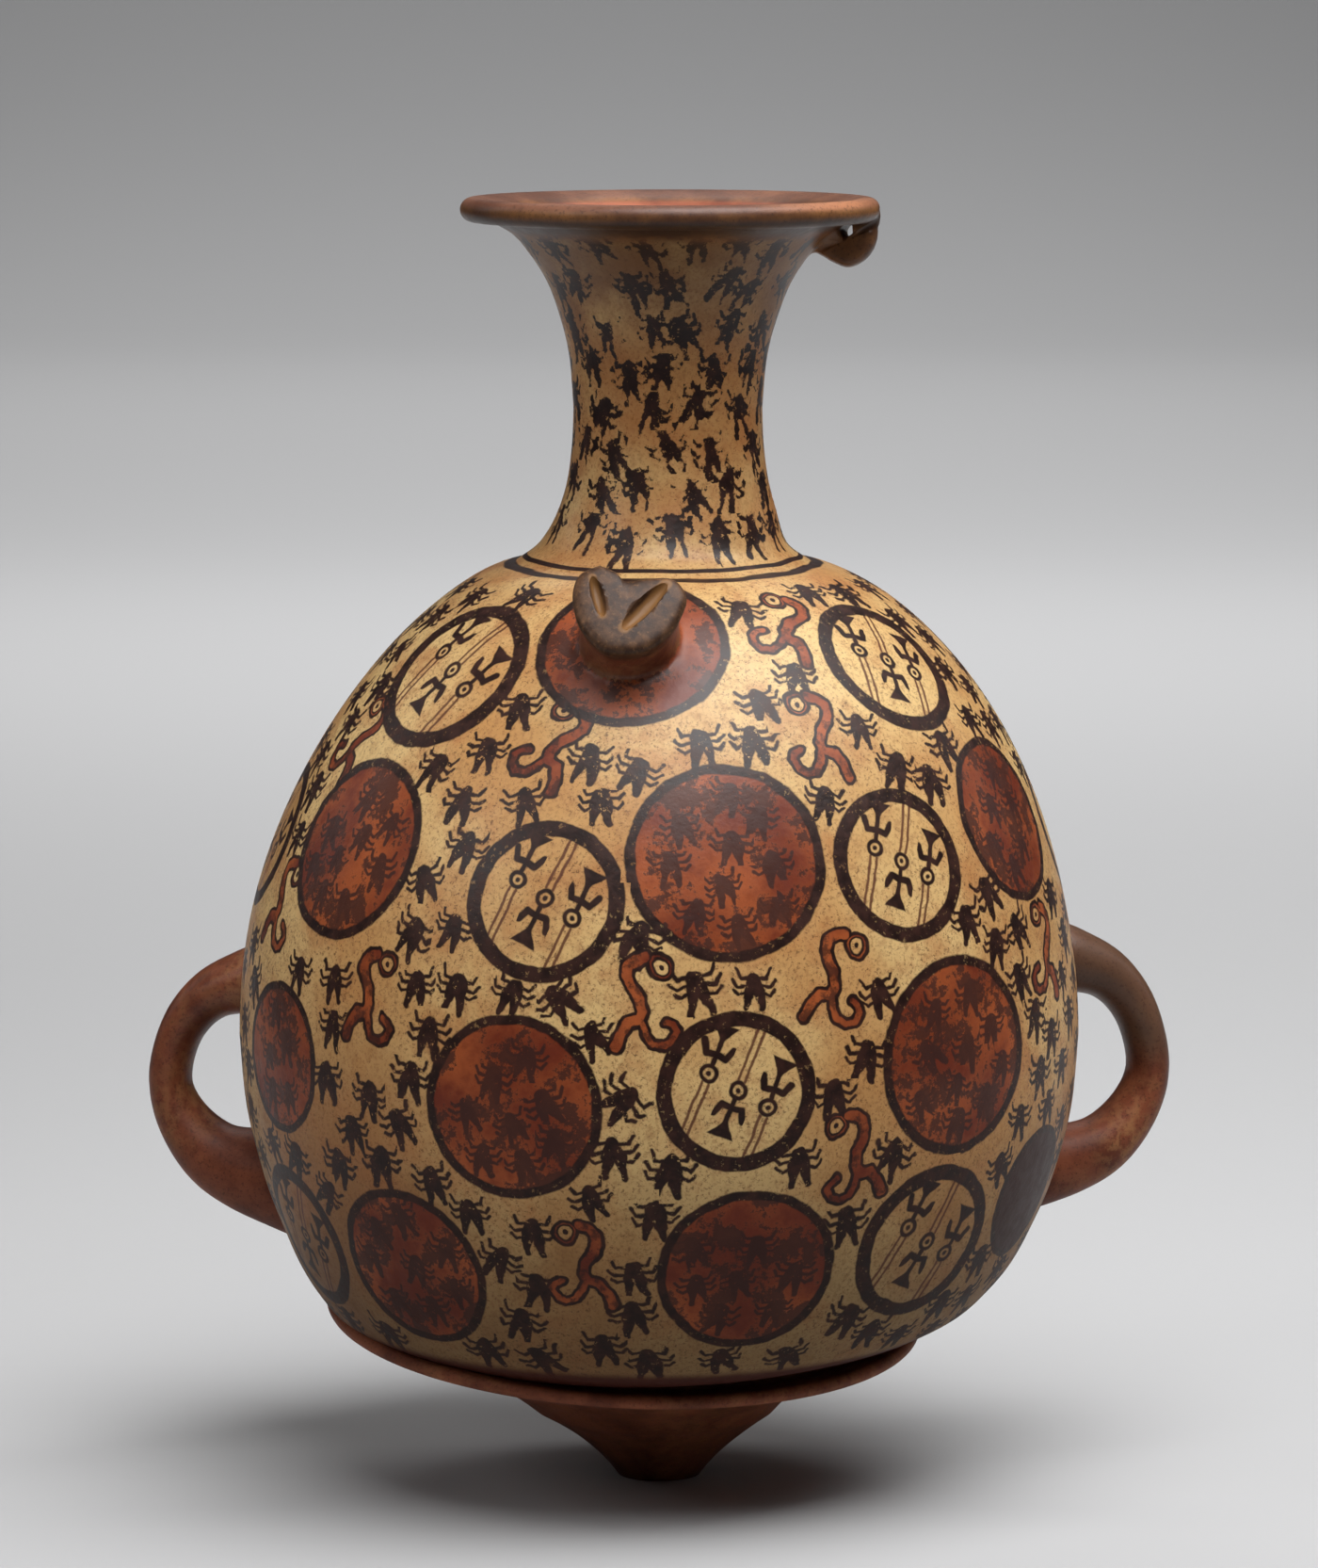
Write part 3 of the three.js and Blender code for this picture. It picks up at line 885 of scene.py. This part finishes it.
def textures(w):
    """Places on the jar, noises from broad to fine, where it is worn, the share of painted shade and
    dullness low down, and both paints
    """
    clay = SimpleNamespace(where=w.add("ShaderNodeTexCoord").outputs["Object"])
    clay.x, clay.y, clay.z = w.parts(clay.where)
    clay.broad = w.noise(clay.where, 22, 4, 0.55)
    clay.middle = w.noise(clay.where, 85, 5, 0.62)
    clay.fine = w.noise(clay.where, 420, 4, 0.65)
    clay.grain = w.noise(clay.where, 1500, 3, 0.6)
    clay.dust = w.step(w.noise(clay.where, 1700, 3, 0.75), 0.53, 0.66)
    clay.worn = w.step(w.noise(clay.where, 1100, 4, 0.7), 0.3, 0.4)
    clay.hand = w.vector("SUBTRACT", w.noise(clay.where, 240, 3, 0.55, colour=True), (0.5, 0.5, 0.5))
    clay.low = w.sum("ADD", clay.z, w.swing(clay.middle, 0.02))
    # painted shade: a share that grows towards the bottom, which darkens the colour there and also
    # makes the surface duller
    clay.grime = w.step(clay.low, 0.082, 0.024)
    clay.figure = w.layer("insect")
    clay.figure_kind = w.parts(clay.figure)[2]
    clay.dark = w.blend(w.step(clay.fine, 0.35, 0.7), rgb(32, 17, 14), rgb(56, 31, 24))
    clay.red = w.blend(w.step(clay.middle, 0.35, 0.65), rgb(104, 42, 24), rgb(160, 82, 42))
    return clay


def by_hand(w, clay, place, reach):
    """A drawing's places, shifted a little to and fro as a brush wavers"""
    return flat(w, w.vector("ADD", place, w.scaled(clay.hand, reach)))


def ground_coat(w, clay):
    """Cream slip, browner in clouds, with dust in its pores, stain and painted shade under the mouth, a
    stain, and painted shade below
    """
    ground = w.blend(w.step(clay.broad, 0.38, 0.62), rgb(186, 138, 84), rgb(214, 180, 122))
    ground = w.blend(w.both(w.step(clay.middle, 0.46, 0.7), 0.62), ground, rgb(166, 104, 58))
    ground = w.blend(w.both(w.step(clay.fine, 0.5, 0.75), 0.4), ground, rgb(138, 88, 50))
    ground = w.blend(w.both(w.step(clay.grain, 0.5, 0.66), 0.4), ground, rgb(140, 96, 56))
    patches = w.step(clay.middle, 0.25, 0.55)
    ground = w.blend(w.both(clay.dust, patches, 0.72), ground, rgb(82, 48, 30))
    on_neck = w.step(clay.z, (crease_height - 7.5) * MM, (crease_height + 7.5) * MM)
    ground = w.blend(w.both(on_neck, patches, 0.5), ground, rgb(176, 114, 62))
    # partly a stain and partly painted shade: the top of the neck darker under the flared mouth
    stain_and_shade_under_mouth = w.step(w.sum("ADD", clay.z, w.swing(clay.middle, 0.03)), 0.19, 0.212)
    ground = w.blend(w.both(stain_and_shade_under_mouth, 0.72), ground, rgb(92, 62, 38))
    off_stain = w.vector("LENGTH", w.vector("SUBTRACT", clay.where, (-0.056, -0.04, 0.054)))
    stain = w.step(w.sum("ADD", off_stain, w.swing(clay.middle, 0.03)), 0.046, 0.014)
    ground = w.blend(w.both(stain, 0.5), ground, rgb(132, 78, 40))
    # painted shade: the cream ground darker towards the bottom
    return w.blend(w.both(clay.grime, 0.7), ground, rgb(94, 62, 36))


def insect_share(w, clay):
    """Where an insect is painted, with more ragged edges up the neck"""
    on_neck = w.step(clay.z, (crease_height + 0.5) * MM, (crease_height + 6.5) * MM)
    ragged = w.both(on_neck, w.sum("SUBTRACT", clay.fine, 0.47), 0.9)
    shape = w.sum("ADD", insect_shape(w, by_hand(w, clay, clay.figure, 0.5)), ragged)
    return w.both(w.step(shape, 0.04, -0.03), w.sum("LESS_THAN", clay.figure_kind, 0.5), clay.worn)


def with_worms(w, clay, painted, ground):
    """Worms with a dark outline, a patchy red filling, and cream round the dot in the head"""
    body, gap = worm_shape(w, by_hand(w, clay, w.layer("worm"), 0.22))
    worms = w.step(body, 0.02, -0.01)
    filled = w.both(w.step(body, -0.06, -0.09), w.step(gap, 0.19, 0.22))
    patches = w.rest(w.both(w.step(w.noise(clay.where, 400, 5, 0.7), 0.46, 0.6), 0.75))
    round_dot = w.both(w.step(gap, 0.17, 0.14), w.step(gap, 0.05, 0.08))
    painted = w.blend(worms, painted, clay.dark)
    painted = w.blend(w.both(worms, filled, patches), painted, clay.red)
    return w.blend(w.both(worms, round_dot), painted, ground)


def with_discs(w, clay, painted, ground, insects):
    """Dark-rimmed discs: cream ones with staffs, red ones with smudged insects, and a dark one"""
    place = w.layer("disc")
    kind = w.parts(place)[2]
    is_red = w.sum("GREATER_THAN", kind, 0.5)
    is_dark = w.sum("GREATER_THAN", kind, 1.5)
    shape = by_hand(w, clay, place, 0.07)
    far = w.vector("LENGTH", shape)
    in_disc = w.step(far, 1.01, 0.985)
    rim_start = w.sum("ADD", w.both(is_red, 0.09), 0.8)
    rim = w.step(w.sum("SUBTRACT", far, rim_start), -0.012, 0.012)
    staffs, lines = staff_shape(w, shape)
    cream_disc = w.blend(w.both(w.step(lines, 0.012, -0.008), 0.9), ground, rgb(84, 42, 30))
    cream_disc = w.blend(w.step(staffs, 0.012, -0.012), cream_disc, clay.dark)
    smudge = w.step(w.noise(clay.where, 170, 6, 0.75), 0.49, 0.55)
    smudge = w.sum("MAXIMUM", w.both(smudge, 0.85), w.both(insects, 0.9))
    red_disc = w.blend(smudge, clay.red, rgb(52, 30, 26))
    red_disc = w.blend(is_dark, red_disc, rgb(54, 26, 20))
    painted = w.blend(w.both(in_disc, w.sum("MAXIMUM", clay.worn, 0.7)), painted, clay.dark)
    return w.blend(w.both(in_disc, w.rest(rim)), painted, w.blend(is_red, cream_disc, red_disc))


def with_bands(w, clay, painted):
    """Two lines round the foot of the neck, and the dark red zone under the tipped base edge"""
    level = w.sum("ADD", clay.z, w.swing(clay.broad, 0.0025))
    for middle, half in [(crease_height + 1.1, 0.3), (crease_height - 0.2, 0.24)]:
        gap = w.sum("ABSOLUTE", w.sum("SUBTRACT", level, middle * MM))
        painted = w.blend(w.step(gap, (half + 0.06) * MM, (half - 0.06) * MM), painted, clay.dark)
    tipped = w.sum("SUBTRACT", clay.z, w.both(clay.y, base_pitch))
    edge = base_height + 3.1
    return w.blend(w.step(tipped, (edge + 1) * MM, (edge - 1) * MM), painted, rgb(70, 28, 18))


def painted_coat(w, clay):
    """All that the painter put on the body and neck, and painted shade over the lower half"""
    ground = ground_coat(w, clay)
    insects = insect_share(w, clay)
    painted = w.blend(insects, ground, clay.dark)
    painted = with_worms(w, clay, painted, ground)
    painted = with_discs(w, clay, painted, ground, insects)
    painted = with_bands(w, clay, painted)
    # painted shade: everything painted on the body darker towards the bottom
    return w.blend(w.both(clay.grime, 0.42), painted, rgb(26, 15, 9))


def slip_coat(w, clay):
    """Red-brown slip of the saucer, cone and handles, rubbed to ochre, and grey on the right handle"""
    slip = w.blend(w.step(clay.middle, 0.35, 0.65), rgb(86, 44, 30), rgb(122, 68, 46))
    over_floor = w.step(clay.z, 0.02, 0.045, 0.2, 0.65)
    rubbed = w.both(w.step(clay.broad, 0.42, 0.66), w.step(clay.fine, 0.4, 0.6), over_floor)
    slip = w.blend(rubbed, slip, rgb(158, 114, 74))
    grey = w.both(w.step(clay.x, 0.066, 0.072), w.step(clay.z, 0.066, 0.074))
    slip = w.blend(w.both(grey, 0.8), slip, rgb(84, 64, 50))
    return w.blend(w.both(clay.dust, 0.45), slip, rgb(46, 28, 22))


def face_coat(w, clay):
    """Brown-black face, with ochre clay in the slits of the eyes"""
    face = w.blend(w.step(clay.fine, 0.35, 0.7), rgb(54, 37, 28), rgb(94, 67, 48))
    face = w.blend(w.both(w.step(clay.grain, 0.55, 0.7), 0.5), face, rgb(128, 92, 60))
    place = flat(w, clay.figure)
    eyes = w.least(*(stroke(w, place, start, end, half - 0.03) for start, end, half in EYES))
    in_slit = w.both(w.step(eyes, 0.02, -0.04), w.step(clay.figure_kind, 0.5, 0.9))
    return w.blend(in_slit, face, rgb(122, 86, 50))


def mouth_coat(w, clay):
    """Bare red clay inside the mouth"""
    return w.blend(w.step(clay.middle, 0.35, 0.7), rgb(126, 66, 48), rgb(172, 100, 74))


def lip_coat(w, clay):
    """Brown lip and lug: tan on the right of the lip, ochre at its edge, and painted shade just under
    it
    """
    lip = w.blend(w.step(clay.middle, 0.35, 0.7), rgb(96, 62, 48), rgb(128, 86, 66))
    tan = w.both(w.step(clay.x, 0.012, 0.03), w.step(clay.broad, 0.35, 0.6))
    lip = w.blend(tan, lip, rgb(176, 118, 84))
    level = w.sum("SUBTRACT", clay.z, w.both(clay.y, mouth_pitch))
    edge = w.blend(w.step(clay.middle, 0.38, 0.66), rgb(84, 54, 37), rgb(134, 90, 53))
    lip = w.blend(w.step(level, (height - 0.7) * MM, (height - 1.7) * MM), lip, edge)
    # painted shade: a dark band just under the lip's roll
    under = w.step(level, (height - 2.3) * MM, (height - 3.3) * MM)
    over_lug = w.step(level, (height - 6.6) * MM, (height - 4.6) * MM)
    lip = w.blend(w.both(under, over_lug, 0.8), lip, rgb(46, 30, 22))
    return w.blend(w.both(clay.dust, 0.5), lip, rgb(44, 28, 22))


def material():
    """The coats side by side, each where the mesh says, under one burnish that is duller low down"""
    stroke_group()
    painted_slip = bpy.data.materials.new("painted slip")
    painted_slip.use_nodes = True
    painted_slip.node_tree.nodes.clear()
    w = Wires(painted_slip.node_tree)
    clay = textures(w)
    coat = w.add("ShaderNodeAttribute", attribute_name="coat").outputs
    is_painted, is_face, in_mouth = w.add("ShaderNodeSeparateColor", {0: coat["Color"]}).outputs
    colour = w.blend(is_painted, slip_coat(w, clay), painted_coat(w, clay))
    colour = w.blend(is_face, colour, face_coat(w, clay))
    colour = w.blend(in_mouth, colour, mouth_coat(w, clay))
    colour = w.blend(coat["Alpha"], colour, lip_coat(w, clay))
    mottled = w.sum("ADD", w.both(clay.fine, 0.6), w.both(clay.broad, 0.4))
    rough = w.sum("ADD", w.step(mottled, 0.3, 0.7, 0.32, 0.46), w.both(clay.grime, 0.2))
    gloss = w.both(w.step(clay.low, 0.05, 0.12, 0.14, 0.36), w.rest(w.both(is_face, 0.5)))
    relief = w.sum("ADD", w.both(clay.grain, 0.35), w.both(clay.fine, 0.65))
    bump = w.add("ShaderNodeBump", {"Strength": 0.5, "Distance": 0.00018, "Height": relief})
    shader = w.add("ShaderNodeBsdfPrincipled", {
        "Base Color": colour,
        "Roughness": rough,
        "Specular IOR Level": gloss,
        "Normal": bump.outputs[0],
    })
    w.add("ShaderNodeOutputMaterial", {"Surface": shader.outputs[0]})
    return painted_slip


def camera():
    """The photograph's view: a long lens a little above the neck, looking slightly down"""
    lens = bpy.data.cameras.new("camera")
    lens.sensor_fit = "VERTICAL"
    lens.sensor_height = 36
    lens.lens = focal_pixels / photo_pixels * lens.sensor_height
    lens.clip_end = 30
    view = bpy.data.objects.new("camera", lens)
    view.location = camera_place
    view.rotation_euler = (math.radians(90 - look_down), 0, 0)
    bpy.context.scene.collection.objects.link(view)
    bpy.context.scene.camera = view


def stage():
    """A pale sweep that curves up far behind, and darkens in front and beside the photograph's frame"""
    depth = 2.2
    bend = 1.0
    turns = np.linspace(0, np.pi / 2, 24)
    rise = [(depth + bend * math.sin(turn), bend - bend * math.cos(turn)) for turn in turns]
    profile = [(-3, 0), *rise, (depth + bend, 3)]
    points = [(x, y, z) for y, z in profile for x in (-3, 3)]
    faces = [(2 * i, 2 * i + 1, 2 * i + 3, 2 * i + 2) for i in range(len(profile) - 1)]
    mesh = bpy.data.meshes.new("floor")
    mesh.from_pydata(points, [], faces)
    mesh.shade_smooth()
    paper = bpy.data.materials.new("grey paper")
    paper.use_nodes = True
    w = Wires(paper.node_tree)
    x, y, _ = w.parts(w.add("ShaderNodeTexCoord").outputs["Object"])
    beside = w.step(w.sum("ABSOLUTE", x), 0.35, 0.9)
    shade = w.sum("MAXIMUM", w.step(y, -0.14, -0.4), beside)
    shader = paper.node_tree.nodes["Principled BSDF"]
    w.feed(shader.inputs["Base Color"], w.blend(shade, rgb(176, 176, 177), rgb(96, 96, 98)))
    shader.inputs["Roughness"].default_value = 0.8
    mesh.materials.append(paper)
    floor = bpy.data.objects.new("floor", mesh)
    bpy.context.scene.collection.objects.link(floor)


def area_light(name, place, aim, size, power, spread):
    """A panel turned to its aim: metres, watts, and the spread of its light in degrees"""
    lamp = bpy.data.lights.new(name, "AREA")
    lamp.shape = "RECTANGLE"
    lamp.size, lamp.size_y = size
    lamp.energy = power
    lamp.spread = math.radians(spread)
    light = bpy.data.objects.new(name, lamp)
    light.location = place
    light.rotation_euler = (Vector(aim) - Vector(place)).to_track_quat("-Z", "Y").to_euler()
    bpy.context.scene.collection.objects.link(light)


camera()
stage()
area_light("overhead softbox", (0.2, -0.2, 0.9), (0.02, 0, 0.1), (1.2, 0.7), 5.75, 90)
area_light("left panel", (-0.9, -0.5, 0.75), (0, 0, 0.15), (0.5, 0.4), 0.25, 60)
area_light("backdrop light", (0.05, 1.2, 1.15), (0.05, 1.2, 0), (1.1, 0.4), 8.6, 110)
area_light("far backdrop light", (-0.05, 1.85, 0.9), (-0.05, 2.45, 0), (1.2, 0.3), 4.4, 120)
area_light("front floor light", (0, -1.6, 1.4), (0, -1.6, 0), (2, 1), 9, 100)
area_light("left rim panel", (-0.9, 0.5, 0.6), (0, 0, 0.14), (0.1, 0.7), 0.05, 50)
area_light("right rim panel", (0.9, 0.5, 0.6), (0, 0, 0.14), (0.1, 0.7), 0.04, 50)
room = bpy.data.worlds.new("dim room")
room.color = (0.02, 0.02, 0.02)
bpy.context.scene.world = room
bpy.context.scene.view_settings.view_transform = "Standard"

piece = jar()
soften_joins(piece, reach=1.6, rounds=10)
corners = Corners(piece.data)
discs = disc_marks()
painted = (corners.part == BODY) & (corners.middle[:, 2] > base_height - 1.4)
corners.write_places("disc", discs, reach=1.12, painted=painted)
worms = worm_marks()
corners.write_places("worm", worms, reach=1.45, painted=painted)
insects = insect_marks(discs, worms)
corners.write_places("insect", insects, reach=1.25, painted=painted | (corners.part == HEAD))
corners.write_coat()
piece.data.materials.clear()
piece.data.materials.append(material())
piece.data.shade_smooth()
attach(piece, "root")
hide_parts("jar")
